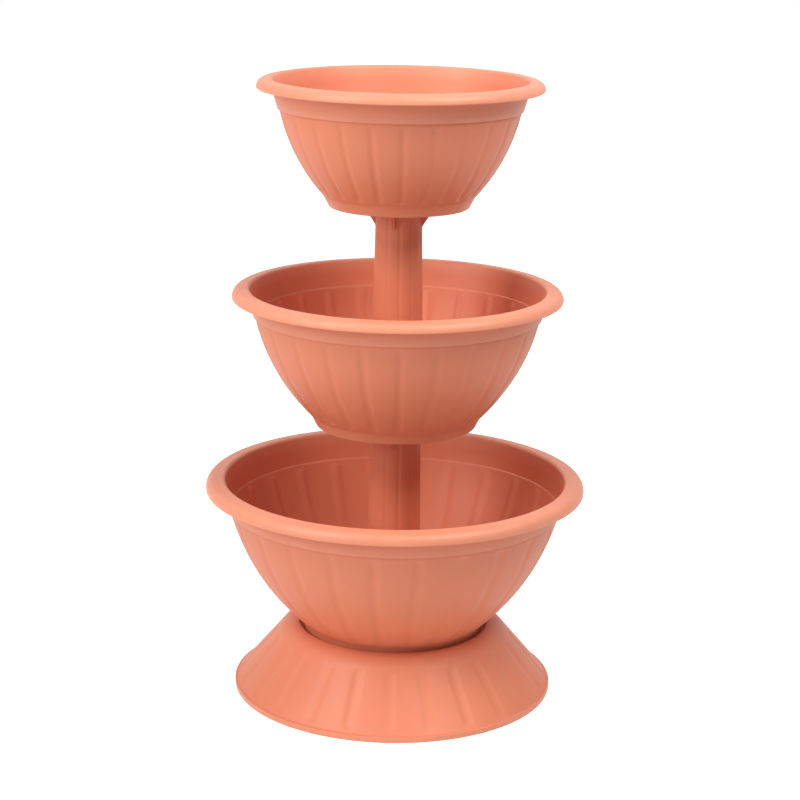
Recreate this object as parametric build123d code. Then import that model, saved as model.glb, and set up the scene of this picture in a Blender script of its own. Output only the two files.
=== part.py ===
from build123d import *
import math
import os

# A three-tier planter: a flared base, three fluted bowls and two fluted columns that stack on one axis.
# Millimetres, +Z up, origin at the centre of the floor under the base. The front is -Y.

# Moulded walls
WALL = 2.6
COLUMN_WALL = 3.0
FLOOR = 2.8
FOOT_RECESS = 4.0

# Fits between the pieces
SPIGOT_CLEARANCE = 0.5
HOLE_CLEARANCE = 0.8

# Flutes of the bowls and the base: flat-bottomed, with a sloping flank each side
FLUTE_COUNT = 24
FLUTE_DEPTH = 1.9
FLUTE_FLANK = 4.0
FLUTE_TOP_GAP = 5.5
FLUTE_FOOT_GAP = 2.0

# Step that marks off the plain band under each rim
STEP = 1.2

# Edges of the rims
RIM_INNER_CHAMFER = 3.0
RIM_OUTER_ROUND = 8.5
RIM_CROWN_DROP = 1.6
ROUND_LIMIT = 0.9

# Drain holes in the floors and in the seat of the base, clear of the plates of the columns
DRAIN_COUNT = 3
DRAIN_RADIUS = 4.0
DRAIN_CLEARANCE = 10.0

# Lower bowl
LOWER_RIM_RADIUS = 200.0
LOWER_RIM_WIDTH = 17.5
LOWER_RIM_HEIGHT = 12.0
LOWER_HEIGHT = 169.5
LOWER_BAND_HEIGHT = 31.5
LOWER_BAND_TAPER = 5.3
LOWER_FOOT_RADIUS = 95.5
LOWER_FOOT_FLARE = 0.8
LOWER_FOOT_HEIGHT = 11.5
LOWER_BULGE = 11.6
LOWER_FLUTE_WIDTH = 14.5
LOWER_FLUTE_TURN = 8.3

# Middle bowl
MIDDLE_RIM_RADIUS = 172.0
MIDDLE_RIM_WIDTH = 15.3
MIDDLE_RIM_HEIGHT = 10.5
MIDDLE_HEIGHT = 145.5
MIDDLE_BAND_HEIGHT = 28.5
MIDDLE_BAND_TAPER = 6.4
MIDDLE_FOOT_RADIUS = 84.0
MIDDLE_FOOT_FLARE = 5.5
MIDDLE_FOOT_HEIGHT = 11.0
MIDDLE_BULGE = 8.8
MIDDLE_FLUTE_WIDTH = 13.0
MIDDLE_FLUTE_TURN = 1.4

# Top bowl
TOP_RIM_RADIUS = 146.5
TOP_RIM_WIDTH = 13.4
TOP_RIM_HEIGHT = 10.3
TOP_HEIGHT = 130.0
TOP_BAND_HEIGHT = 30.5
TOP_BAND_TAPER = 8.0
TOP_FOOT_RADIUS = 72.2
TOP_FOOT_FLARE = 5.8
TOP_FOOT_HEIGHT = 11.0
TOP_BULGE = 6.6
TOP_FLUTE_WIDTH = 11.5
TOP_FLUTE_TURN = 1.5

# Columns
COLUMN_FLUTES = 12
COLUMN_FLUTE_WIDTH = 6.5
COLUMN_FLUTE_DEPTH = 0.5
COLUMN_BOTTOM_RADIUS = 28.2
LOWER_COLUMN_TOP_RADIUS = 26.4
LOWER_COLUMN_LENGTH = 225.0
LOWER_COLUMN_TURN = 8.0
UPPER_COLUMN_TOP_RADIUS = 23.8
UPPER_COLUMN_LENGTH = 228.0
UPPER_COLUMN_TURN = 3.0

# Spigots that centre the pieces on each other
SPIGOT_HEIGHT = 38.0
SPIGOT_CHAMFER = 3.0
TOP_SPIGOT_RADIUS = 20.5

# Plate and gusset webs at the head of each column
PLATE_RADIUS = 42.0
PLATE_THICKNESS = 3.0
WEB_COUNT = 4
WEB_THICKNESS = 2.8
WEB_HEIGHT = 27.0
WEB_SETBACK = 1.0
WEB_HOLLOW = 4.5
WEB_TURN = -14.0

# Base
BASE_RADIUS = 170.0
BASE_FLANGE_WIDTH = 6.5
BASE_FLANGE_HEIGHT = 6.0
BASE_FLANGE_CHAMFER = 2.0
BASE_WALL = 3.6
BASE_SEAT_HEIGHT = 62.0
BASE_SEAT_THICKNESS = 3.0
BASE_LIP_RISE = 8.2
BASE_LIP_WIDTH = 16.0
BASE_LIP_CHAMFER = 1.5
BASE_MOUTH_GAP = 2.7
BASE_SHOULDER_ROUND = 26.0
BASE_SHOULDER_CHAMFER = 8.0
BASE_FLUTE_WIDTH = 14.5
BASE_FLUTE_TURN = -0.9
BASE_FLUTE_TOP_GAP = 11.0
BASE_FLUTE_FOOT_GAP = 7.0
BASE_RIB_COUNT = 8
BASE_RIB_DEPTH = 14.0
BASE_RIB_THICKNESS = 2.4

UPWARD = (Align.CENTER, Align.CENTER, Align.MIN)


def turned(outline):
    """Solid made by turning a closed half section, drawn as (radius, height), about the axis."""
    return revolve(Plane.XZ * make_face(outline), Axis.Z, 360)


def around(tool, count):
    """Copies of a tool spaced evenly about the axis."""
    return [Rot(0, 0, 360 * index / count) * tool for index in range(count)]


def flute_section(width, wall):
    """Section of a flute, drawn with its depth upwards, or of the rib behind it, grown by a wall."""
    half = width / 2
    outer = half + FLUTE_FLANK
    inner = half - FLUTE_FLANK
    corners = [(-outer, -FLUTE_DEPTH), (outer, -FLUTE_DEPTH), (inner, FLUTE_DEPTH), (-inner, FLUTE_DEPTH)]
    return offset(make_face(Polyline(*corners, close=True)), wall, kind=Kind.INTERSECTION)


def groove_radius(width, depth):
    """Radius of the round groove that is this wide and this deep in a flat wall."""
    return (width**2 / 4 + depth**2) / (2 * depth)


def taper(bottom_radius, top_radius, length, height):
    """Radius of a straight taper at a height above its bottom."""
    return bottom_radius + (top_radius - bottom_radius) * height / length


class BowlWall:
    """Circular arc of a bowl's outer wall in the half section, from its foot ring up to its step."""

    def __init__(self, foot, top, bulge):
        self.foot = foot
        self.top = top
        run = top[0] - foot[0]
        rise = top[1] - foot[1]
        chord = math.hypot(run, rise)
        self.radius = (chord**2 / 4 + bulge**2) / (2 * bulge)
        back = (self.radius - bulge) / chord
        self.centre_radius = (foot[0] + top[0]) / 2 - rise * back
        self.centre_height = (foot[1] + top[1]) / 2 + run * back
        self.foot_angle = math.atan2(foot[1] - self.centre_height, foot[0] - self.centre_radius)
        self.top_angle = math.atan2(top[1] - self.centre_height, top[0] - self.centre_radius)

    def point(self, angle, reach):
        """Point at an angle and a distance from the arc's centre."""
        across = self.centre_radius + reach * math.cos(angle)
        height = self.centre_height + reach * math.sin(angle)
        return (across, height)

    def edge(self, inset):
        """The arc, or its parallel this far inside the wall."""
        middle = (self.foot_angle + self.top_angle) / 2
        angles = (self.foot_angle, middle, self.top_angle)
        return ThreePointArc(*[self.point(angle, self.radius - inset) for angle in angles])

    def flute(self, width, wall):
        """Bar along the wall that cuts one flute, or with a wall round it, shapes the rib behind it."""
        start = self.foot_angle + (FLUTE_FOOT_GAP - wall) / self.radius
        end = self.top_angle - (FLUTE_TOP_GAP - wall) / self.radius
        across, height = self.point(start, self.radius)
        along = (-math.sin(start), 0, math.cos(start))
        lie = Plane(origin=(across, 0, height), x_dir=(0, 1, 0), z_dir=along)
        pivot = Axis((self.centre_radius, 0, self.centre_height), (0, -1, 0))
        return revolve(lie * flute_section(width, wall), pivot, math.degrees(end - start))


def bowl(height, rim, band, foot, bulge, flute_width, hole_radius):
    """Fluted bowl with a rolled rim, a plain band, a foot ring, and a floor with its holes."""
    rim_radius, rim_width, rim_height = rim
    band_height, band_taper = band
    foot_radius, foot_flare, foot_height = foot
    band_radius = rim_radius - rim_width
    step_top = (band_radius - band_taper, height - band_height)
    wall_top = (step_top[0] - STEP, step_top[1])
    foot_top = (foot_radius + foot_flare, foot_height)
    wall = BowlWall(foot_top, wall_top, bulge)
    floor_top = FOOT_RECESS + FLOOR
    mouth_radius = band_radius - WALL
    crown = height - RIM_CROWN_DROP
    low = height - rim_height
    outer_round = min(RIM_OUTER_ROUND, (rim_height - RIM_CROWN_DROP) * ROUND_LIMIT)

    under_rim = FilletPolyline(
        step_top,
        (band_radius, height - WALL),
        (rim_radius - WALL, crown - WALL),
        (rim_radius - WALL, low),
        (rim_radius, low),
        (rim_radius, crown),
        (mouth_radius, height),
        radius=[0, 0, 0, 0, outer_round],
    )
    outside = Curve() + [
        Polyline((0, 0), (foot_radius, 0), foot_top),
        wall.edge(0),
        Line(wall_top, step_top),
        under_rim,
        Polyline((mouth_radius, height), (0, height), (0, 0)),
    ]
    body = turned(outside) - around(wall.flute(flute_width, 0), FLUTE_COUNT)

    inner_foot = wall.point(wall.foot_angle, wall.radius - WALL)
    inner_top = wall.point(wall.top_angle, wall.radius - WALL)
    inner_step = (inner_top[0] + STEP, inner_top[1])
    lip = (mouth_radius, height - RIM_INNER_CHAMFER)
    clear = (mouth_radius + 2 * RIM_INNER_CHAMFER, height + RIM_INNER_CHAMFER)
    inside = Curve() + [
        Polyline((0, floor_top), (foot_radius - WALL, floor_top), inner_foot),
        wall.edge(WALL),
        Polyline(inner_top, inner_step, lip, clear, (0, clear[1]), (0, floor_top)),
    ]
    hollow = turned(inside) - around(wall.flute(flute_width, WALL), FLUTE_COUNT)

    recess = Cylinder(foot_radius - WALL, FOOT_RECESS, align=UPWARD)
    drain = Pos(drain_circle, 0, 0) * Cylinder(DRAIN_RADIUS, floor_top, align=UPWARD)
    hole = Cylinder(hole_radius, floor_top, align=UPWARD)
    return body - hollow - [recess, hole] - around(drain, DRAIN_COUNT)


def spigot(root, tip, seat, plate_thickness):
    """Closed tapered spigot on a plate whose top is at the seat height, and its bore through the plate."""
    top = seat + SPIGOT_HEIGHT
    edge = top - SPIGOT_CHAMFER
    corners = [(0, seat), (root, seat), (tip, edge), (tip - SPIGOT_CHAMFER, top), (0, top)]
    low = seat - plate_thickness
    inner_top = top - COLUMN_WALL
    inner = tip - SPIGOT_CHAMFER
    bore_edge = edge - COLUMN_WALL
    bore = [(0, low), (root - COLUMN_WALL, low), (inner, bore_edge), (inner, inner_top), (0, inner_top)]
    return turned(Polyline(*corners, close=True)), turned(Polyline(*bore, close=True))


def fitting_spigot(top_radius, length):
    """Radii at the root and the tip of the spigot that fits up the tapered bore of a column."""
    root = COLUMN_BOTTOM_RADIUS - COLUMN_WALL - SPIGOT_CLEARANCE
    tip = root + taper(COLUMN_BOTTOM_RADIUS, top_radius, length, SPIGOT_HEIGHT) - COLUMN_BOTTOM_RADIUS
    return root, tip


def web(column_radius, top):
    """Gusset web between a column and the underside of its plate, with a hollowed edge."""
    inner = column_radius - COLUMN_WALL / 2
    low = top - WEB_HEIGHT
    tip = (PLATE_RADIUS - WEB_SETBACK, top)
    outline = Curve() + [
        SagittaArc(tip, (column_radius, low), -WEB_HOLLOW),
        Polyline((column_radius, low), (inner, low), (inner, top), tip),
    ]
    return extrude(Plane.XZ * make_face(outline), amount=WEB_THICKNESS / 2, both=True)


def column(top_radius, length, spigot_root, spigot_tip):
    """Fluted tapered tube with a webbed plate at its head and a spigot above the plate."""
    groove = groove_radius(COLUMN_FLUTE_WIDTH, COLUMN_FLUTE_DEPTH)
    lean = math.degrees(math.atan2(COLUMN_BOTTOM_RADIUS - top_radius, length))
    middle = (COLUMN_BOTTOM_RADIUS + top_radius) / 2 + groove - COLUMN_FLUTE_DEPTH
    cutter = Pos(middle, 0, length / 2) * Rot(0, -lean, 0) * Cylinder(groove, 2 * length)
    tube = Cone(COLUMN_BOTTOM_RADIUS, top_radius, length, align=UPWARD) - around(cutter, COLUMN_FLUTES)

    under = length - PLATE_THICKNESS
    plate = Pos(0, 0, under) * Cylinder(PLATE_RADIUS, PLATE_THICKNESS, align=UPWARD)
    neck = taper(COLUMN_BOTTOM_RADIUS, top_radius, length, under)
    brace = Rot(0, 0, WEB_TURN) * web(neck, under)
    post, post_bore = spigot(spigot_root, spigot_tip, length, PLATE_THICKNESS)
    bore = Cone(COLUMN_BOTTOM_RADIUS - COLUMN_WALL, neck - COLUMN_WALL, under, align=UPWARD)
    return tube + [plate, post] + around(brace, WEB_COUNT) - [bore, post_bore]


def base(mouth_radius, spigot_root, spigot_tip):
    """Flared, fluted skirt with a flange, a rounded mouth, and a recessed, ribbed seat with a spigot."""
    foot = (BASE_RADIUS - BASE_FLANGE_WIDTH, BASE_FLANGE_HEIGHT)
    top = (mouth_radius + BASE_LIP_WIDTH, BASE_SEAT_HEIGHT + BASE_LIP_RISE)
    slope = math.atan2(top[1] - foot[1], foot[0] - top[0])
    side = FilletPolyline(
        (0, 0),
        (BASE_RADIUS, 0),
        (BASE_RADIUS, BASE_FLANGE_HEIGHT - BASE_FLANGE_CHAMFER),
        (BASE_RADIUS - BASE_FLANGE_CHAMFER, BASE_FLANGE_HEIGHT),
        foot,
        top,
        (mouth_radius + BASE_LIP_CHAMFER, top[1]),
        (mouth_radius, top[1] - BASE_LIP_CHAMFER),
        (mouth_radius, BASE_SEAT_HEIGHT),
        (0, BASE_SEAT_HEIGHT),
        radius=[0, 0, 0, 0, BASE_SHOULDER_ROUND, 0, 0, 0],
    )
    body = turned(Curve() + [side, Line((0, BASE_SEAT_HEIGHT), (0, 0))])

    # The inner face of the skirt runs parallel to the outer one, from the floor up into the hollow lip.
    spread = (foot[0] - top[0]) / (top[1] - foot[1])
    inset = BASE_WALL / math.sin(slope)
    seat_under = BASE_SEAT_HEIGHT - BASE_SEAT_THICKNESS
    lip_under = top[1] - BASE_WALL
    inner_foot = foot[0] + foot[1] * spread - inset
    inner_top = inner_foot - lip_under * spread
    down = BASE_SHOULDER_CHAMFER * math.sin(slope)
    hollow = turned(Polyline(
        (0, 0),
        (inner_foot, 0),
        (inner_top + down * spread, lip_under - down),
        (inner_top - BASE_SHOULDER_CHAMFER, lip_under),
        (mouth_radius + BASE_WALL, lip_under),
        (mouth_radius + BASE_WALL, seat_under),
        (0, seat_under),
        close=True,
    ))

    across = foot[0] - BASE_FLUTE_FOOT_GAP * math.cos(slope)
    height = foot[1] + BASE_FLUTE_FOOT_GAP * math.sin(slope)
    up_skirt = (-math.cos(slope), 0, math.sin(slope))
    lie = Plane(origin=(across, 0, height), x_dir=(0, 1, 0), z_dir=up_skirt)
    run = math.dist(foot, top) - BASE_FLUTE_FOOT_GAP - BASE_FLUTE_TOP_GAP
    body -= around(extrude(lie * flute_section(BASE_FLUTE_WIDTH, 0), amount=run), FLUTE_COUNT)

    rib_start = spigot_root - COLUMN_WALL
    rib = Box(inner_foot, BASE_RIB_THICKNESS, BASE_RIB_DEPTH, align=(Align.MIN, Align.CENTER, Align.MAX))
    hollow -= around(Pos(rib_start, 0, seat_under) * rib, BASE_RIB_COUNT)

    post, post_bore = spigot(spigot_root, spigot_tip, BASE_SEAT_HEIGHT, BASE_SEAT_THICKNESS)
    drain = Pos(drain_circle, 0, seat_under) * Cylinder(DRAIN_RADIUS, BASE_SEAT_THICKNESS, align=UPWARD)
    half = 180 / BASE_RIB_COUNT
    drains = [Rot(0, 0, half) * hole for hole in around(drain, DRAIN_COUNT)]
    return body + post - hollow - post_bore - drains


# Heights at which the pieces stand on each other
lower_foot = BASE_SEAT_HEIGHT
lower_floor = lower_foot + FOOT_RECESS + FLOOR
middle_foot = lower_floor + LOWER_COLUMN_LENGTH - FOOT_RECESS
middle_floor = middle_foot + FOOT_RECESS + FLOOR
top_foot = middle_floor + UPPER_COLUMN_LENGTH - FOOT_RECESS

base_spigot = fitting_spigot(LOWER_COLUMN_TOP_RADIUS, LOWER_COLUMN_LENGTH)
lower_spigot = fitting_spigot(UPPER_COLUMN_TOP_RADIUS, UPPER_COLUMN_LENGTH)
top_drop = lower_spigot[0] - lower_spigot[1]
upper_spigot = (TOP_SPIGOT_RADIUS, TOP_SPIGOT_RADIUS - top_drop)

drain_circle = PLATE_RADIUS + DRAIN_RADIUS + DRAIN_CLEARANCE
base_mouth = LOWER_FOOT_RADIUS + LOWER_FOOT_FLARE + BASE_MOUTH_GAP

lower_bowl = bowl(
    LOWER_HEIGHT,
    (LOWER_RIM_RADIUS, LOWER_RIM_WIDTH, LOWER_RIM_HEIGHT),
    (LOWER_BAND_HEIGHT, LOWER_BAND_TAPER),
    (LOWER_FOOT_RADIUS, LOWER_FOOT_FLARE, LOWER_FOOT_HEIGHT),
    LOWER_BULGE,
    LOWER_FLUTE_WIDTH,
    base_spigot[0] + HOLE_CLEARANCE,
)
middle_bowl = bowl(
    MIDDLE_HEIGHT,
    (MIDDLE_RIM_RADIUS, MIDDLE_RIM_WIDTH, MIDDLE_RIM_HEIGHT),
    (MIDDLE_BAND_HEIGHT, MIDDLE_BAND_TAPER),
    (MIDDLE_FOOT_RADIUS, MIDDLE_FOOT_FLARE, MIDDLE_FOOT_HEIGHT),
    MIDDLE_BULGE,
    MIDDLE_FLUTE_WIDTH,
    lower_spigot[0] + HOLE_CLEARANCE,
)
top_bowl = bowl(
    TOP_HEIGHT,
    (TOP_RIM_RADIUS, TOP_RIM_WIDTH, TOP_RIM_HEIGHT),
    (TOP_BAND_HEIGHT, TOP_BAND_TAPER),
    (TOP_FOOT_RADIUS, TOP_FOOT_FLARE, TOP_FOOT_HEIGHT),
    TOP_BULGE,
    TOP_FLUTE_WIDTH,
    upper_spigot[0] + HOLE_CLEARANCE,
)
lower_column = column(LOWER_COLUMN_TOP_RADIUS, LOWER_COLUMN_LENGTH, *lower_spigot)
upper_column = column(UPPER_COLUMN_TOP_RADIUS, UPPER_COLUMN_LENGTH, *upper_spigot)

pieces = {
    "base": Rot(0, 0, BASE_FLUTE_TURN) * base(base_mouth, *base_spigot),
    "lower_bowl": Pos(0, 0, lower_foot) * Rot(0, 0, LOWER_FLUTE_TURN) * lower_bowl,
    "lower_column": Pos(0, 0, lower_floor) * Rot(0, 0, LOWER_COLUMN_TURN) * lower_column,
    "middle_bowl": Pos(0, 0, middle_foot) * Rot(0, 0, MIDDLE_FLUTE_TURN) * middle_bowl,
    "upper_column": Pos(0, 0, middle_floor) * Rot(0, 0, UPPER_COLUMN_TURN) * upper_column,
    "top_bowl": Pos(0, 0, top_foot) * Rot(0, 0, TOP_FLUTE_TURN) * top_bowl,
}

os.makedirs("parts", exist_ok=True)
for name, piece in pieces.items():
    export_step(piece, f"parts/{name}.step")
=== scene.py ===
import math

import bmesh
import bpy
from mathutils import Matrix, Vector


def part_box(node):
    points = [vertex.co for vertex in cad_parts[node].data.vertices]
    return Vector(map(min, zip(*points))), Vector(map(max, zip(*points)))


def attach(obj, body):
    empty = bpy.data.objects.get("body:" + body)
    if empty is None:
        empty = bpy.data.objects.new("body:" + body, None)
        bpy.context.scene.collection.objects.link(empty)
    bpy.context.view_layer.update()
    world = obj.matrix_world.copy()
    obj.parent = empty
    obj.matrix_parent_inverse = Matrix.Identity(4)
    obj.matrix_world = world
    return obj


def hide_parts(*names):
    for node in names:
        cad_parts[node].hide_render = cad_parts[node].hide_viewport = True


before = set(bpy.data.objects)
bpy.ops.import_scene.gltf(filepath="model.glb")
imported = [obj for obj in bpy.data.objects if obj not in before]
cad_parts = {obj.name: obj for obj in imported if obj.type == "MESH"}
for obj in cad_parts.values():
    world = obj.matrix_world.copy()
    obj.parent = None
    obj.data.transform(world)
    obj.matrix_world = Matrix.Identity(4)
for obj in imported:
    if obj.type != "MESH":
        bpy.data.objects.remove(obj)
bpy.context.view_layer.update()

# A three-tier planter in moulded terracotta plastic: each piece is a half section turned about the Z axis,
# with its flutes pressed in, its drain holes cut and its webs or ribs joined on. Metres, +Z up, front is -Y.

MM = 0.001
TAU = 2 * math.pi

# Moulded walls
WALL = 2.6 * MM
COLUMN_WALL = 3.0 * MM
BASE_WALL = 3.6 * MM
FLOOR = 2.8 * MM
FOOT_RECESS = 4.0 * MM

# Flutes: how many, how deep, how wide their sloping flanks are, and how long their ends take to run out
FLUTE_COUNT = 24
FLUTE_DEPTH = 1.1 * MM
FLUTE_FLANK = 5.8 * MM
FLUTE_TOP_GAP = 2.5 * MM
FLUTE_FOOT_GAP = 3.0 * MM
FLUTE_END = 5.5 * MM
COLUMN_FLUTES = 12
COLUMN_FLUTE_WIDTH = 6.5 * MM
COLUMN_FLUTE_FLANK = 3.2 * MM
COLUMN_FLUTE_DEPTH = 0.5 * MM

# Rims, and the step that marks off the plain band under each of them, undercut to a fine line
STEP = 1.8 * MM
STEP_UNDERCUT = 0.7 * MM
RIM_INNER_ROUND = 3.5 * MM
RIM_OUTER_ROUND = 8.5 * MM
RIM_CROWN_DROP = 1.6 * MM
RIM_EDGE_ROUND = 1.3 * MM

# Roundings of the other edges, and the largest convex one that is painted paler, as wear and as a painted
# highlight
SHARP_ROUND = 0.4 * MM
EDGE_ROUND = 0.9 * MM
SOFT_ROUND = 2.0 * MM
FOOT_ROUND = 8.0 * MM
LARGEST_WORN_AND_HIGHLIT_ROUND = 10.0 * MM

# Drain holes, in the floors of the bowls and the seat of the base. The drill reaches past the floor's faces
# and is twisted, so that none of its corners lies on a line of the floor's mesh.
DRAIN_COUNT = 3
DRAIN_RADIUS = 4.0 * MM
DRAIN_CIRCLE = 56.0 * MM
DRILL_SIDES = 32
DRILL_TWIST = TAU / DRILL_SIDES / 4
DRILL_REACH = 3

# Spigots that centre the pieces on each other
SPIGOT_HEIGHT = 38.0 * MM
SPIGOT_CHAMFER = 3.0 * MM
SPIGOT_ROOT = 24.7 * MM
TOP_SPIGOT_ROOT = 20.5 * MM
HOLE_CLEARANCE = 0.8 * MM

# Columns: a tapered tube under a round plate, with webs between the two
COLUMN_BOTTOM = 28.2 * MM
PLATE_THICKNESS = 3.0 * MM
WEB_COUNT = 4
WEB_THICKNESS = 2.8 * MM
WEB_HEIGHT = 23.0 * MM
WEB_SETBACK = 1.0 * MM
WEB_HOLLOW = 1.0 * MM
WEB_EDGE_STEPS = 10
WEB_TURN = -14.0

# Each column: millimetres from the axis at its top and its spigot's tip, the turn of its first flute
# in degrees, and the radius of its spigot's root
COLUMNS = {
    "lower_column": {"top": 26.4, "turn": 8.0, "tip": 23.97, "root": SPIGOT_ROOT},
    "upper_column": {"top": 23.8, "turn": 3.0, "tip": 19.77, "root": TOP_SPIGOT_ROOT},
}

# Each bowl: millimetres from the axis and above its foot, the turn of its first flute in degrees, and the
# root of the spigot that the hole in its floor fits
BOWLS = {
    "lower_bowl": {
        "height": 169.5, "rim_width": 17.5, "rim_height": 12.0, "band_height": 31.5, "band_taper": 5.3,
        "foot": 95.5, "flare": 0.8, "foot_height": 11.5, "bulge": 11.6, "flute_width": 14.5, "turn": 8.3,
        "hole": SPIGOT_ROOT,
    },
    "middle_bowl": {
        "height": 145.5, "rim_width": 15.3, "rim_height": 10.5, "band_height": 28.5, "band_taper": 6.4,
        "foot": 84.0, "flare": 5.5, "foot_height": 11.0, "bulge": 8.8, "flute_width": 13.0, "turn": 1.4,
        "hole": SPIGOT_ROOT,
    },
    "top_bowl": {
        "height": 130.0, "rim_width": 13.4, "rim_height": 10.3, "band_height": 30.5, "band_taper": 8.0,
        "foot": 72.2, "flare": 5.8, "foot_height": 11.0, "bulge": 6.6, "flute_width": 11.5, "turn": 1.5,
        "hole": TOP_SPIGOT_ROOT,
    },
}

# Base: a flared skirt with a flange at the floor, a lip, and a seat sunk into its mouth, with ribs under it
BASE_FLANGE_WIDTH = 2.5 * MM
BASE_FLANGE_HEIGHT = 6.0 * MM
BASE_FLANGE_BLEND = 4.0 * MM
BASE_FLANGE_ROUND = 1.2 * MM
BASE_HEIGHT = 70.2 * MM
BASE_MOUTH = 101.0 * MM
BASE_LIP_WIDTH = 12.5 * MM
BASE_SHOULDER_ROUND = 26.0 * MM
BASE_SHOULDER_CHAMFER = 8.0 * MM
BASE_LIP_ROUND = 1.0 * MM
BASE_SEAT = 62.0 * MM
BASE_SEAT_THICKNESS = 3.0 * MM
BASE_SPIGOT_TIP = 24.4 * MM
BASE_FLUTE_WIDTH = 15.5 * MM
BASE_FLUTE_FLANK = 6.2 * MM
BASE_FLUTE_DEPTH = 0.95 * MM
BASE_FLUTE_TURN = -0.9
BASE_FLUTE_TOP_GAP = 13.5 * MM
BASE_FLUTE_FOOT_GAP = 3.0 * MM
BASE_DRAIN_TURN = 22.5
RIB_COUNT = 8
RIB_DEPTH = 14.0 * MM
RIB_THICKNESS = 2.4 * MM

# Fineness of the meshes, and the share of an edge that the roundings at its two ends may take
SEGMENTS = 408
COLUMN_SEGMENTS = 264
LONGEST_SPAN = 15.0 * MM
FLUTE_SPAN = 8.0 * MM
FLUTE_END_STEPS = 5
ROUND_STEP = math.radians(11)
ROUND_ROOM = 0.98
SHARP_ANGLE = math.radians(38)
MERGE = 0.005 * MM

# Camera, fitted to the rims and the base: metres, degrees, and millimetres of lens
CAMERA_DISTANCE = 2.129
CAMERA_HEIGHT = 0.880
CAMERA_PITCH = 14.88
CAMERA_YAW = -0.108
CAMERA_ROLL = 0.9
CAMERA_LENS = 94.3
SENSOR_WIDTH = 36.0

# Plastic: pigment clouded between two tones, and a paler tone on small convex edges that is partly wear and
# partly a painted highlight, in sRGB, under a fine tool grain
PIGMENT_DEEP = (221, 128, 95)
PIGMENT_PALE = (227, 135, 101)
WORN_AND_HIGHLIGHT_TONE = (242, 168, 137)
WORN_AND_HIGHLIGHT_LEAST = 0.2
WORN_AND_HIGHLIGHT_SPREAD = 0.3
CLOUD_SCALE = 7.0
CLOUD_DETAIL = 3.0
CLOUD_SHARE = 0.7
MOTTLE_SCALE = 60.0
GRAIN_SCALE = 1300.0
GRAIN_SHARE = 0.7
GRAIN_HEIGHT = 0.2 * MM
GRAIN_STRENGTH = 0.25
FINE_DETAIL = 2.0
ROUGHNESS = 0.48
CLOUD_ROUGHNESS = 0.16
MOTTLE_ROUGHNESS = 0.08
RUBBED_POLISH = 0.04
PLASTIC_IOR = 1.49
PLASTIC_SPECULAR = 0.4

# Floor: its half width, where it starts to turn white by itself, and how far that takes, in metres
WHITE = (1.0, 1.0, 1.0, 1.0)
FLOOR_TONE = (0.9, 0.9, 0.9, 1.0)
FLOOR_REACH = 9.0
FLOOR_NEAR = 0.6
FLOOR_FADE = 1.6
FLOOR_GLOW = 0.6

# Light: the strength of the surroundings on the object, and each lamp's place, its width and its watts
AMBIENT = 0.24
LAMP_AIM = (0.0, 0.0, 0.35)
LAMPS = {
    "low key": ((-2.0, -1.36, 1.24), 0.9, 21.0),
    "high key": ((-1.42, -1.07, 2.25), 0.9, 30.0),
    "near": ((0.67, -0.56, 1.58), 0.7, 15.5),
}


class Field:
    """An output socket in a node tree; arithmetic on it adds Math nodes to the same tree."""

    def __init__(self, tree, socket=None):
        self.tree = tree
        self.socket = socket

    def node(self, kind, settings=None, inputs=None, output=0):
        """Output of a new node: its settings are set first, then its sockets are filled or linked."""
        made = self.tree.nodes.new(kind)
        for name, value in (settings or {}).items():
            setattr(made, name, value)
        for key, value in (inputs or {}).items():
            for source in value if isinstance(value, list) else [value]:
                if isinstance(source, Field):
                    self.tree.links.new(source.socket, made.inputs[key])
                else:
                    made.inputs[key].default_value = source
        return Field(self.tree, made.outputs[output])

    def other(self, output):
        """Another output of the same node."""
        return Field(self.tree, self.socket.node.outputs[output])

    def math(self, operation, *values):
        """This value put through a Math node, with any others after it."""
        return self.node("ShaderNodeMath", {"operation": operation}, dict(enumerate((self, *values))))

    def __add__(self, value):
        return self.math("ADD", value)

    __radd__ = __add__

    def __sub__(self, value):
        return self.math("SUBTRACT", value)

    def __rsub__(self, value):
        return self.node("ShaderNodeMath", {"operation": "SUBTRACT"}, {0: value, 1: self})

    def __mul__(self, value):
        return self.math("MULTIPLY", value)

    __rmul__ = __mul__

    def __truediv__(self, value):
        return self.math("DIVIDE", value)

    def clamped(self):
        """This value held between 0 and 1."""
        return self.math("MINIMUM", 1).math("MAXIMUM", 0)


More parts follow.
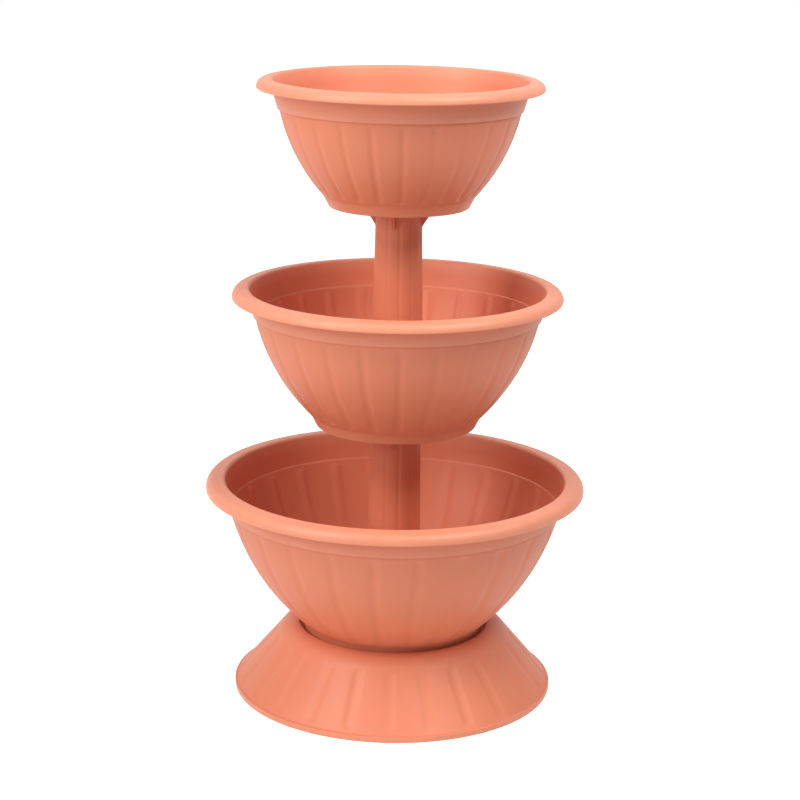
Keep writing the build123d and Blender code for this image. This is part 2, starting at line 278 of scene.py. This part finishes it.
class Section:
    """Half section of a turned piece, walked with the solid on the right hand."""

    def __init__(self):
        self.corners = []

    def add(self, across, height, rounding=0.0, push=(0.0, 0.0)):
        """Next corner, its rounding, and the way a flute moves it."""
        self.corners.append((Vector((across, height)), rounding, Vector(push)))

    def side(self, index, other):
        """Way from a corner to the one beside it, and that one's rounding."""
        return self.corners[other][0] - self.corners[index][0], self.corners[other][1]

    def rounded(self, closed):
        """Points as (place, push, wear and painted highlight), with each corner that has a rounding turned
        into an arc.
        """
        points = []
        last = len(self.corners) - 1
        for index, (corner, rounding, push) in enumerate(self.corners):
            if rounding == 0 or (not closed and index in (0, last)):
                points.append((corner, push, 0.0))
                continue
            before, before_rounding = self.side(index, index - 1)
            after, after_rounding = self.side(index, (index + 1) % len(self.corners))
            turn = math.pi - before.angle(after)
            room = [
                ROUND_ROOM * before.length * rounding / (rounding + before_rounding),
                ROUND_ROOM * after.length * rounding / (rounding + after_rounding),
            ]
            trim = min(rounding * math.tan(turn / 2), *room)
            radius = trim / math.tan(turn / 2)
            inward = (before.normalized() + after.normalized()).normalized()
            centre = corner + inward * (radius / math.cos(turn / 2))
            first = corner + before.normalized() * trim - centre
            final = corner + after.normalized() * trim - centre
            # Small convex roundings, the rims most, are marked to be painted paler: partly wear, partly a
            # painted highlight.
            worn_and_highlit = before.x * after.y - before.y * after.x > 0 and rounding <= LARGEST_WORN_AND_HIGHLIT_ROUND
            steps = max(2, math.ceil(turn / ROUND_STEP))
            for step in range(steps + 1):
                share = step / steps
                swing = first * math.sin((1 - share) * turn) + final * math.sin(share * turn)
                points.append((centre + swing / math.sin(turn), push, 1.0 if worn_and_highlit else 0.0))
        return points + points[:1] if closed else points

    def mesh(self, name, closed):
        """Mesh of the outline with its long spans divided, and with the push and the
        wear-and-painted-highlight mark of each point.
        """
        rounded = self.rounded(closed)
        points = [rounded[0]]
        for start, end in zip(rounded, rounded[1:]):
            parts = max(1, math.ceil((end[0] - start[0]).length / LONGEST_SPAN))
            for part in range(1, parts):
                share = part / parts
                points.append((start[0].lerp(end[0], share), start[1].lerp(end[1], share), 0.0))
            points.append(end)
        made = bpy.data.meshes.new(name)
        places = [(place.x, 0, place.y) for place, _, _ in points]
        made.from_pydata(places, [(index, index + 1) for index in range(len(points) - 1)], [])
        pushes = [part for _, push, _ in points for part in (push.x, 0, push.y)]
        made.attributes.new("push", "FLOAT_VECTOR", "POINT").data.foreach_set("vector", pushes)
        # Mark of wear and painted highlight on each point.
        wear_and_highlight_values = [wear for _, _, wear in points]
        made.attributes.new("wear", "FLOAT", "POINT").data.foreach_set("value", wear_and_highlight_values)
        return made


def eased(value):
    """Smooth step from 0 to 1."""
    share = min(1.0, max(0.0, value))
    return share * share * (3 - 2 * share)


def fluted_stations(length, start_gap, end_gap):
    """Places along a wall of this length, and how fully its flutes are pressed in at each of them."""
    shares = [step / FLUTE_END_STEPS for step in range(FLUTE_END_STEPS + 1)]
    start, end = start_gap + FLUTE_END, length - end_gap - FLUTE_END
    spans = math.ceil((end - start) / FLUTE_SPAN)
    stations = [(start_gap + FLUTE_END * share, eased(share)) for share in shares]
    stations += [(start + (end - start) * span / spans, 1.0) for span in range(1, spans)]
    stations += [(end + FLUTE_END * share, eased(1 - share)) for share in shares]
    return stations


class BowlWall:
    """Circular arc of a bowl's outer wall in its half section, from its foot ring up to its step."""

    def __init__(self, foot, top, bulge):
        chord = top - foot
        self.radius = (chord.length_squared / 4 + bulge**2) / (2 * bulge)
        inward = Vector((-chord.y, chord.x)).normalized()
        self.centre = (foot + top) / 2 + inward * (self.radius - bulge)
        self.foot_angle = math.atan2(foot.y - self.centre.y, foot.x - self.centre.x)
        self.top_angle = math.atan2(top.y - self.centre.y, top.x - self.centre.x)
        self.length = self.radius * (self.top_angle - self.foot_angle)

    def walk(self, section, inset, upward):
        """Adds the wall's points to a section, up its inside or down its outside, at an inset."""
        fluted = fluted_stations(self.length, FLUTE_FOOT_GAP, FLUTE_TOP_GAP)
        stations = [(0.0, 0.0), *fluted, (self.length, 0.0)]
        for along, weight in stations if upward else reversed(stations):
            angle = self.foot_angle + along / self.radius
            outward = Vector((math.cos(angle), math.sin(angle)))
            undercut = STEP_UNDERCUT if along == self.length and not upward else 0.0
            place = self.centre + outward * (self.radius - inset - undercut)
            rounding = {0.0: FOOT_ROUND, self.length: SHARP_ROUND}.get(along, 0.0)
            section.add(*place, rounding, -outward * weight)


def bowl_section(sizes, rim):
    """Half section of a bowl: floor, inner wall, rim, outer wall and foot ring."""
    height, foot = sizes["height"] * MM, sizes["foot"] * MM
    band = rim - sizes["rim_width"] * MM
    wall_top = Vector((band - sizes["band_taper"] * MM - STEP, height - sizes["band_height"] * MM))
    foot_top = Vector((sizes["foot"] + sizes["flare"], sizes["foot_height"])) * MM
    wall = BowlWall(foot_top, wall_top, sizes["bulge"] * MM)
    hole = sizes["hole"] + HOLE_CLEARANCE
    floor_top = FOOT_RECESS + FLOOR
    mouth = band - WALL
    crown = height - RIM_CROWN_DROP
    low = height - sizes["rim_height"] * MM
    inner_top = wall_top - Vector((math.cos(wall.top_angle), math.sin(wall.top_angle))) * WALL

    section = Section()
    section.add(hole, floor_top, SHARP_ROUND)
    section.add(foot - WALL, floor_top, SOFT_ROUND)
    wall.walk(section, WALL, True)
    section.add(inner_top.x + STEP, inner_top.y, SHARP_ROUND)
    section.add(mouth, height, RIM_INNER_ROUND)
    section.add(rim, crown, RIM_OUTER_ROUND)
    section.add(rim, low, RIM_EDGE_ROUND)
    section.add(rim - WALL, low, RIM_EDGE_ROUND)
    section.add(rim - WALL, crown - WALL, RIM_OUTER_ROUND - WALL)
    section.add(band, height - WALL, SOFT_ROUND)
    section.add(wall_top.x + STEP, wall_top.y, SHARP_ROUND)
    wall.walk(section, 0, False)
    section.add(foot, 0, EDGE_ROUND)
    section.add(foot - WALL, 0, EDGE_ROUND)
    section.add(foot - WALL, FOOT_RECESS, EDGE_ROUND)
    section.add(hole, FOOT_RECESS, SHARP_ROUND)
    return section


def add_spigot(section, root, tip, seat):
    """Outside of a closed spigot, from its top on the axis down to its seat."""
    top = seat + SPIGOT_HEIGHT
    section.add(0, top)
    section.add(tip - SPIGOT_CHAMFER, top, EDGE_ROUND)
    section.add(tip, top - SPIGOT_CHAMFER, EDGE_ROUND)
    section.add(root, seat, EDGE_ROUND)


def add_spigot_bore(section, root, tip, seat, thickness):
    """Inside of a closed spigot, from the underside of its plate up to the axis."""
    top = seat + SPIGOT_HEIGHT
    inner = tip - SPIGOT_CHAMFER
    section.add(root - COLUMN_WALL, seat - thickness, EDGE_ROUND)
    section.add(inner, top - SPIGOT_CHAMFER - COLUMN_WALL, EDGE_ROUND)
    section.add(inner, top - COLUMN_WALL, EDGE_ROUND)
    section.add(0, top - COLUMN_WALL)


def add_fluted_run(section, start, end, start_gap, end_gap):
    """Straight fluted stretch, the solid on its right; where a gap is below 0, the flutes run off its end."""
    run = end - start
    push = Vector((run.y, -run.x)).normalized()
    for along, weight in fluted_stations(run.length, start_gap, end_gap):
        if along < run.length:
            section.add(*start.lerp(end, along / run.length), 0.0, push * weight)


def tube_radius(sizes, length, height):
    """Radius of a column's tapered tube at a height."""
    return COLUMN_BOTTOM + (sizes["top"] * MM - COLUMN_BOTTOM) * height / length


def column_section(sizes, length, plate):
    """Half section of a column: spigot, plate, fluted tube and bore."""
    root, tip = sizes["root"], sizes["tip"] * MM
    under = length - PLATE_THICKNESS
    neck = tube_radius(sizes, length, under)
    section = Section()
    add_spigot(section, root, tip, length)
    section.add(plate, length, EDGE_ROUND)
    section.add(plate, under, EDGE_ROUND)
    section.add(neck, under, SOFT_ROUND)
    add_fluted_run(section, Vector((neck, under)), Vector((COLUMN_BOTTOM, 0)), FLUTE_END, -FLUTE_END)
    section.add(COLUMN_BOTTOM, 0, SHARP_ROUND, (-1, 0))
    section.add(COLUMN_BOTTOM - COLUMN_WALL, 0, SHARP_ROUND)
    section.add(neck - COLUMN_WALL, under, EDGE_ROUND)
    add_spigot_bore(section, root, tip, length, PLATE_THICKNESS)
    return section


def base_section(radius):
    """Half section of the base: spigot, seat, mouth, fluted skirt, flange and hollow underside."""
    foot = Vector((radius - BASE_FLANGE_WIDTH, BASE_FLANGE_HEIGHT))
    top = Vector((BASE_MOUTH + BASE_LIP_WIDTH, BASE_HEIGHT))
    section = Section()
    add_spigot(section, SPIGOT_ROOT, BASE_SPIGOT_TIP, BASE_SEAT)
    section.add(BASE_MOUTH, BASE_SEAT, SOFT_ROUND)
    section.add(BASE_MOUTH, BASE_HEIGHT, BASE_LIP_ROUND)
    section.add(*top, BASE_SHOULDER_ROUND)
    along = (foot - top).normalized()
    shoulder = top + along * BASE_FLUTE_TOP_GAP
    ankle = foot - along * BASE_FLUTE_FOOT_GAP
    add_fluted_run(section, shoulder, ankle, 0, 0)
    section.add(*foot, BASE_FLANGE_BLEND)
    section.add(radius, BASE_FLANGE_HEIGHT, BASE_FLANGE_ROUND)
    section.add(radius, 0, EDGE_ROUND)
    for corner in base_inside(radius):
        section.add(*corner, EDGE_ROUND)
    add_spigot_bore(section, SPIGOT_ROOT, BASE_SPIGOT_TIP, BASE_SEAT, BASE_SEAT_THICKNESS)
    return section


def base_inside(radius):
    """Corners of the base's inside: up the skirt from the floor, the hollow lip, the seat's underside."""
    foot = Vector((radius - BASE_FLANGE_WIDTH, BASE_FLANGE_HEIGHT))
    run = Vector((BASE_MOUTH + BASE_LIP_WIDTH, BASE_HEIGHT)) - foot
    up = run.normalized()
    inner_foot = Vector((foot.x - foot.y * up.x / up.y - BASE_WALL / up.y, 0))
    lip_under = BASE_HEIGHT - BASE_WALL
    inner_top = inner_foot + up * (lip_under / up.y)
    collar = BASE_MOUTH + BASE_WALL
    return [
        inner_foot,
        inner_top - up * BASE_SHOULDER_CHAMFER,
        inner_top - Vector((BASE_SHOULDER_CHAMFER, 0)),
        Vector((collar, lip_under)),
        Vector((collar, BASE_SEAT - BASE_SEAT_THICKNESS)),
    ]


def new_tree(name, sizes):
    """Geometry Nodes tree that takes a mesh, the named sizes and a finish, and the fields of its inputs."""
    tree = bpy.data.node_groups.new(name, "GeometryNodeTree")
    tree.interface.new_socket("Geometry", in_out="OUTPUT", socket_type="NodeSocketGeometry")
    kinds = {"Geometry": "Geometry", **sizes, "Finish": "Material"}
    for label, kind in kinds.items():
        tree.interface.new_socket(label, in_out="INPUT", socket_type="NodeSocket" + kind)
    given = tree.nodes.new("NodeGroupInput")
    return tree, {label: Field(tree, given.outputs[label]) for label in kinds}


def close_tree(tree, geometry, finish):
    """Ends a tree with real, smooth geometry in its finish."""
    real = geometry.node("GeometryNodeRealizeInstances", {}, {"Geometry": geometry})
    smooth = real.node("GeometryNodeSetShadeSmooth", {}, {"Geometry": real})
    done = smooth.node("GeometryNodeSetMaterial", {}, {"Geometry": smooth, "Material": finish})
    output = tree.nodes.new("NodeGroupOutput")
    tree.links.new(done.socket, output.inputs["Geometry"])
    return tree


def turned_tree():
    """Turns a half section about the Z axis and presses soft flutes into it where its points have a push."""
    sizes = {
        "Segments": "Int", "Flutes": "Int", "Flute Width": "Float", "Flute Flank": "Float",
        "Flute Depth": "Float", "Turn": "Float",
    }
    tree, given = new_tree("turned", sizes)
    section, segments, flutes = given["Geometry"], given["Segments"], given["Flutes"]
    columns = segments + 1
    component = {"component": "MESH"}
    rows = section.node("GeometryNodeAttributeDomainSize", component, {"Geometry": section}, "Point Count")
    grid = section.node("GeometryNodeMeshGrid", {}, {"Vertices X": rows, "Vertices Y": columns}, "Mesh")
    index = section.node("GeometryNodeInputIndex")
    row = ((index + 0.5) / columns).math("FLOOR")
    share = (index - row * columns) / segments

    def along(kind, value):
        """Value of the section at this point's row."""
        sampled = {"Geometry": section, "Value": value, "Index": row}
        return section.node("GeometryNodeSampleIndex", {"data_type": kind, "domain": "POINT"}, sampled)

    def named(kind, name):
        """Value that the section's points carry under a name."""
        settings = {"data_type": kind}
        return section.node("GeometryNodeInputNamedAttribute", settings, {"Name": name}, "Attribute")

    def parts(vector):
        """X of a vector, from a node that also has its Z."""
        return section.node("ShaderNodeSeparateXYZ", {}, {0: vector}, "X")

    place = parts(along("FLOAT_VECTOR", section.node("GeometryNodeInputPosition")))
    push = parts(along("FLOAT_VECTOR", named("FLOAT_VECTOR", "push")))
    # Mark of wear and painted highlight, from the section's row, kept on the mesh for the material.
    wear = along("FLOAT", named("FLOAT", "wear"))
    beat = (share * flutes + 0.5).math("FRACT") - 0.5
    aside = beat.math("ABSOLUTE") * TAU * place / flutes
    sunk = ((given["Flute Width"] / 2 - aside) / given["Flute Flank"]).clamped()
    dip = sunk * sunk * (3 - 2 * sunk) * given["Flute Depth"]
    across = place + push * dip
    height = place.other("Z") + push.other("Z") * dip
    angle = share * TAU + given["Turn"]
    spot = {"X": across * angle.math("COSINE"), "Y": across * angle.math("SINE"), "Z": height}
    position = section.node("ShaderNodeCombineXYZ", {}, spot)
    shaped = section.node("GeometryNodeSetPosition", {}, {"Geometry": grid, "Position": position})
    settings = {"data_type": "FLOAT", "domain": "POINT"}
    stored = {"Geometry": shaped, "Name": "wear", "Value": wear}
    worn = section.node("GeometryNodeStoreNamedAttribute", settings, stored)
    closed = section.node("GeometryNodeMergeByDistance", {}, {"Geometry": worn, "Distance": MERGE})
    return close_tree(tree, closed, given["Finish"])


def drilled_tree():
    """Cuts a circle of round holes through a piece, at a height on its axis."""
    sizes = {
        "Holes": "Int", "Circle": "Float", "Radius": "Float", "Height": "Float", "Depth": "Float",
        "Turn": "Float",
    }
    tree, given = new_tree("drilled", sizes)
    piece = given["Geometry"]
    ring = piece.node("GeometryNodeMeshCircle", {}, {"Vertices": given["Holes"], "Radius": given["Circle"]})
    drill_sizes = {"Vertices": DRILL_SIDES, "Radius": given["Radius"], "Depth": given["Depth"]}
    drill = piece.node("GeometryNodeMeshCylinder", {}, drill_sizes)
    copies = {"Points": ring, "Instance": drill, "Rotation": (0, 0, DRILL_TWIST)}
    drills = piece.node("GeometryNodeInstanceOnPoints", {}, copies)
    real = piece.node("GeometryNodeRealizeInstances", {}, {"Geometry": drills})
    lift = piece.node("ShaderNodeCombineXYZ", {}, {"Z": given["Height"]})
    turn = piece.node("ShaderNodeCombineXYZ", {}, {"Z": given["Turn"]})
    move = {"Geometry": real, "Translation": lift, "Rotation": turn}
    placed = piece.node("GeometryNodeTransform", {}, move)
    settings = {"operation": "DIFFERENCE", "solver": "MANIFOLD"}
    cut = piece.node("GeometryNodeMeshBoolean", settings, {"Mesh 1": piece, "Mesh 2": placed}, "Mesh")
    return close_tree(tree, cut, given["Finish"])


def braced_tree():
    """Joins copies of a web or rib, spaced evenly about the axis, to a piece."""
    tree, given = new_tree("braced", {"Brace": "Object", "Braces": "Int", "Turn": "Float"})
    piece = given["Geometry"]
    seats = piece.node("GeometryNodeMeshLine", {}, {"Count": given["Braces"], "Offset": (0, 0, 0)})
    brace = piece.node("GeometryNodeObjectInfo", {}, {"Object": given["Brace"]}, "Geometry")
    step = piece.node("GeometryNodeInputIndex") * TAU / given["Braces"] + given["Turn"]
    turn = piece.node("ShaderNodeCombineXYZ", {}, {"Z": step})
    copies = {"Points": seats, "Instance": brace, "Rotation": turn}
    braces = piece.node("GeometryNodeInstanceOnPoints", {}, copies)
    real = piece.node("GeometryNodeRealizeInstances", {}, {"Geometry": braces})
    settings = {"operation": "UNION", "solver": "MANIFOLD"}
    joined = piece.node("GeometryNodeMeshBoolean", settings, {"Mesh 2": [piece, real]}, "Mesh")
    return close_tree(tree, joined, given["Finish"])


def shape(piece, tree, values):
    """Adds a tree to a piece, with its named inputs set."""
    modifier = piece.modifiers.new(tree.name, "NODES")
    modifier.node_group = tree
    for item in tree.interface.items_tree:
        if item.in_out == "INPUT" and item.name in values:
            modifier[item.identifier] = values[item.name]


def settle(piece, height):
    """Turns a piece's trees into a plain mesh at its place, with only its real edges sharp."""
    graph = bpy.context.evaluated_depsgraph_get()
    made = bpy.data.meshes.new_from_object(piece.evaluated_get(graph), depsgraph=graph)
    piece.modifiers.clear()
    piece.data = made
    made.transform(Matrix.Translation((0, 0, height)))
    made.set_sharp_from_angle(angle=SHARP_ANGLE)


def new_object(name, data):
    """Object of a mesh, lamp or camera, in the scene and at the origin."""
    made = bpy.data.objects.new(name, data)
    bpy.context.scene.collection.objects.link(made)
    return made


def turned_piece(node, section, closed, turning):
    """Object named for its node, with the tree that turns its section."""
    piece = new_object(node + "_shell", section.mesh(node + "_shell", closed))
    shape(piece, TURNED, turning)
    return piece


def adopt(piece, node):
    """The piece rides on its body and stands for its node, whose CAD part is hidden."""
    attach(piece, node)
    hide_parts(node)


def drains(height, thickness, turn, finish):
    """Inputs of the drilled tree for the drain holes of a floor."""
    return {
        "Holes": DRAIN_COUNT, "Circle": DRAIN_CIRCLE, "Radius": DRAIN_RADIUS,
        "Height": height + thickness / 2, "Depth": thickness * DRILL_REACH, "Turn": math.radians(turn),
        "Finish": finish,
    }


def bowl(node, sizes, finish):
    """Fluted bowl with its drain holes."""
    low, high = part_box(node)
    section = bowl_section(sizes, (high.x - low.x) / 2)
    turning = {
        "Segments": SEGMENTS, "Flutes": FLUTE_COUNT, "Flute Width": sizes["flute_width"] * MM,
        "Flute Flank": FLUTE_FLANK, "Flute Depth": FLUTE_DEPTH, "Turn": math.radians(sizes["turn"]),
        "Finish": finish,
    }
    piece = turned_piece(node, section, True, turning)
    shape(piece, DRILLED, drains(FOOT_RECESS, FLOOR, sizes["turn"], finish))
    settle(piece, low.z)
    adopt(piece, node)


def brace_plate(name, outline, thickness):
    """Flat web or rib in the XZ plane, with half its thickness on either side."""
    made = bmesh.new()
    corners = [made.verts.new((point.x, -thickness / 2, point.y)) for point in outline]
    face = made.faces.new(corners)
    grown = bmesh.ops.extrude_face_region(made, geom=[face])["geom"]
    moved = [part for part in grown if isinstance(part, bmesh.types.BMVert)]
    bmesh.ops.translate(made, verts=moved, vec=(0, thickness, 0))
    bmesh.ops.recalc_face_normals(made, faces=made.faces)
    mesh = bpy.data.meshes.new(name)
    made.to_mesh(mesh)
    made.free()
    return new_object(name, mesh)


def web_edge(tip, foot):
    """Points down the free edge of a web, which dips towards the column by the web's hollow."""
    run = foot - tip
    side = Vector((run.y, -run.x)).normalized()
    shares = [step / WEB_EDGE_STEPS for step in range(WEB_EDGE_STEPS + 1)]
    return [tip + run * share + side * (4 * WEB_HOLLOW * share * (1 - share)) for share in shares]


def column(node, sizes, finish):
    """Fluted column with its plate, webs and spigot."""
    low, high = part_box(node)
    length = high.z - low.z - SPIGOT_HEIGHT
    plate = (high.x - low.x) / 2
    section = column_section(sizes, length, plate)
    turning = {
        "Segments": COLUMN_SEGMENTS, "Flutes": COLUMN_FLUTES, "Flute Width": COLUMN_FLUTE_WIDTH,
        "Flute Flank": COLUMN_FLUTE_FLANK, "Flute Depth": COLUMN_FLUTE_DEPTH,
        "Turn": math.radians(sizes["turn"]), "Finish": finish,
    }
    piece = turned_piece(node, section, False, turning)
    under = length - PLATE_THICKNESS
    inside_plate = length - PLATE_THICKNESS / 2
    neck = tube_radius(sizes, length, inside_plate)
    inside_tube = neck - COLUMN_WALL / 2
    tip = Vector((plate - WEB_SETBACK, under))
    foot = Vector((neck, under - WEB_HEIGHT))
    sunk = [(inside_tube, foot.y), (inside_tube, inside_plate), (tip.x, inside_plate)]
    outline = web_edge(tip, foot) + [Vector(corner) for corner in sunk]
    web = brace_plate(node + "_web", outline, WEB_THICKNESS)
    turn = math.radians(sizes["turn"] + WEB_TURN)
    shape(piece, BRACED, {"Brace": web, "Braces": WEB_COUNT, "Turn": turn, "Finish": finish})
    settle(piece, low.z)
    bpy.data.objects.remove(web)
    adopt(piece, node)


def base(finish):
    """Flared, fluted base with its seat, drain holes, spigot and the ribs under the seat."""
    low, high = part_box("base")
    radius = (high.x - low.x) / 2
    section = base_section(radius)
    turning = {
        "Segments": SEGMENTS, "Flutes": FLUTE_COUNT, "Flute Width": BASE_FLUTE_WIDTH,
        "Flute Flank": BASE_FLUTE_FLANK, "Flute Depth": BASE_FLUTE_DEPTH,
        "Turn": math.radians(BASE_FLUTE_TURN), "Finish": finish,
    }
    piece = turned_piece("base", section, False, turning)
    seat_under = BASE_SEAT - BASE_SEAT_THICKNESS
    drain_turn = BASE_FLUTE_TURN + BASE_DRAIN_TURN
    shape(piece, DRILLED, drains(seat_under, BASE_SEAT_THICKNESS, drain_turn, finish))
    inner_foot, inner_shoulder, *_ = base_inside(radius)
    inside = SPIGOT_ROOT - COLUMN_WALL
    collar = BASE_MOUTH + BASE_WALL / 2
    rise = BASE_SEAT_THICKNESS / 2

    def sunk_in_skirt(height):
        """Point within the wall of the skirt at a height."""
        share = height / inner_shoulder.y
        return inner_foot.lerp(inner_shoulder, share) + Vector((BASE_WALL / 2, 0))

    outline = [
        Vector((inside, seat_under + rise)),
        Vector((collar, seat_under + rise)),
        Vector((collar, seat_under)),
        sunk_in_skirt(seat_under),
        sunk_in_skirt(seat_under - RIB_DEPTH),
        Vector((inside, seat_under - RIB_DEPTH)),
    ]
    rib = brace_plate("base_rib", outline, RIB_THICKNESS)
    turn = math.radians(BASE_FLUTE_TURN)
    shape(piece, BRACED, {"Brace": rib, "Braces": RIB_COUNT, "Turn": turn, "Finish": finish})
    settle(piece, low.z)
    bpy.data.objects.remove(rib)
    adopt(piece, "base")


def tone(red, green, blue):
    """Linear colour of an sRGB one given in 0 to 255."""
    parts = [part / 255 for part in (red, green, blue)]
    return (*[part / 12.92 if part <= 0.04045 else ((part + 0.055) / 1.055) ** 2.4 for part in parts], 1.0)


def new_material(name):
    """Empty material, and a field to start its nodes from."""
    material = bpy.data.materials.new(name)
    material.use_nodes = True
    material.node_tree.nodes.clear()
    return material, Field(material.node_tree)


def finish_material(material, shader):
    """The material, with the shader as its surface."""
    output = material.node_tree.nodes.new("ShaderNodeOutputMaterial")
    material.node_tree.links.new(shader.socket, output.inputs["Surface"])
    return material


def mixed(factor, first, second):
    """Colour between two, by a factor."""
    return factor.node("ShaderNodeMix", {"data_type": "RGBA"}, {0: factor, 6: first, 7: second}, 2)


def terracotta():
    """Satin moulded plastic: clouded pigment, fine tool grain, small convex edges a little smoother from wear
    and painted paler, partly as wear and partly as a painted highlight.
    """
    material, start = new_material("terracotta_plastic")
    place = start.node("ShaderNodeTexCoord", output="Object")
    wear = start.node("ShaderNodeAttribute", {"attribute_name": "wear"}, output="Fac")

    def noise(scale, detail):
        """Soft pattern with so many waves a metre."""
        return place.node("ShaderNodeTexNoise", {}, {"Vector": place, "Scale": scale, "Detail": detail}, 0)

    cloud = noise(CLOUD_SCALE, CLOUD_DETAIL)
    mottle = noise(MOTTLE_SCALE, FINE_DETAIL)
    grain = noise(GRAIN_SCALE, FINE_DETAIL)
    clouded = cloud * CLOUD_SHARE + mottle * (1 - CLOUD_SHARE)
    pigment = mixed(clouded, tone(*PIGMENT_DEEP), tone(*PIGMENT_PALE))
    # Small convex edges, the rims most, painted paler: partly wear, partly a painted highlight.
    worn_and_highlit = mixed(wear * (WORN_AND_HIGHLIGHT_LEAST + mottle * WORN_AND_HIGHLIGHT_SPREAD), pigment, tone(*WORN_AND_HIGHLIGHT_TONE))
    roughness = ROUGHNESS + (cloud - 0.5) * CLOUD_ROUGHNESS + (mottle - 0.5) * MOTTLE_ROUGHNESS
    relief = grain * GRAIN_SHARE + mottle * (1 - GRAIN_SHARE)
    bumps = {"Strength": GRAIN_STRENGTH, "Distance": GRAIN_HEIGHT, "Height": relief}
    looks = {
        "Base Color": worn_and_highlit,
        "Roughness": roughness - wear * RUBBED_POLISH,
        "Normal": place.node("ShaderNodeBump", {}, bumps),
        "IOR": PLASTIC_IOR,
        "Specular IOR Level": PLASTIC_SPECULAR,
    }
    return finish_material(material, place.node("ShaderNodeBsdfPrincipled", {}, looks))


def seen_rays(start):
    """1 for rays from the eye, also by way of gloss or glass, and 0 for those that light the object."""
    rays = start.node("ShaderNodeLightPath", output="Is Camera Ray")
    return (rays + rays.other("Is Glossy Ray") + rays.other("Is Transmission Ray")).math("MINIMUM", 1)


def floor_material():
    """Pale matt floor, white to the eye where nothing shades it, also far from the lamps."""
    material, start = new_material("pale_floor")
    place = start.node("ShaderNodeTexCoord", output="Object")
    away = place.node("ShaderNodeVectorMath", {"operation": "LENGTH"}, {0: place}, "Value")
    far = ((away - FLOOR_NEAR) / FLOOR_FADE).clamped()
    strength = seen_rays(start) * (FLOOR_GLOW + far * (1 - FLOOR_GLOW))
    matt = start.node("ShaderNodeBsdfDiffuse", {}, {"Color": FLOOR_TONE})
    glow = start.node("ShaderNodeEmission", {}, {"Color": WHITE, "Strength": strength})
    return finish_material(material, start.node("ShaderNodeAddShader", {}, {0: matt, 1: glow}))


def studio():
    """Pale floor, white surroundings and soft lamps: two on the left and a near one on the right."""
    mesh = bpy.data.meshes.new("floor")
    corners = [(x * FLOOR_REACH, y * FLOOR_REACH, 0) for x, y in ((-1, -1), (1, -1), (1, 1), (-1, 1))]
    mesh.from_pydata(corners, [], [(0, 1, 2, 3)])
    mesh.materials.append(floor_material())
    new_object("floor", mesh)

    world = bpy.data.worlds.new("studio")
    world.use_nodes = True
    world.node_tree.nodes.clear()
    start = Field(world.node_tree)
    strength = AMBIENT + seen_rays(start) * (1 - AMBIENT)
    sky = start.node("ShaderNodeBackground", {}, {"Color": WHITE, "Strength": strength})
    output = world.node_tree.nodes.new("ShaderNodeOutputWorld")
    world.node_tree.links.new(sky.socket, output.inputs["Surface"])
    bpy.context.scene.world = world

    for name, (place, width, watts) in LAMPS.items():
        lamp(name, place, width, watts)


def lamp(name, place, width, watts):
    """Square soft lamp aimed at the middle of the planter."""
    data = bpy.data.lights.new(name, "AREA")
    data.shape = "SQUARE"
    data.size = width
    data.energy = watts
    made = new_object(name, data)
    made.location = place
    aim = Vector(LAMP_AIM) - Vector(place)
    made.rotation_euler = aim.to_track_quat("-Z", "Y").to_euler()


def camera():
    """Camera in front of the planter, a little above it and looking down."""
    data = bpy.data.cameras.new("camera")
    data.lens = CAMERA_LENS
    data.sensor_width = SENSOR_WIDTH
    made = new_object("camera", data)
    heading = Matrix.Rotation(math.radians(CAMERA_YAW), 4, "Z")
    pitch = Matrix.Rotation(math.radians(90 - CAMERA_PITCH), 4, "X")
    roll = Matrix.Rotation(math.radians(CAMERA_ROLL), 4, "Z")
    made.matrix_world = Matrix.Translation((0, -CAMERA_DISTANCE, CAMERA_HEIGHT)) @ heading @ pitch @ roll
    bpy.context.scene.camera = made


TURNED = turned_tree()
DRILLED = drilled_tree()
BRACED = braced_tree()

plastic = terracotta()
base(plastic)
for node, sizes in COLUMNS.items():
    column(node, sizes, plastic)
for node, sizes in BOWLS.items():
    bowl(node, sizes, plastic)

studio()
camera()
bpy.context.scene.view_settings.view_transform = "Standard"
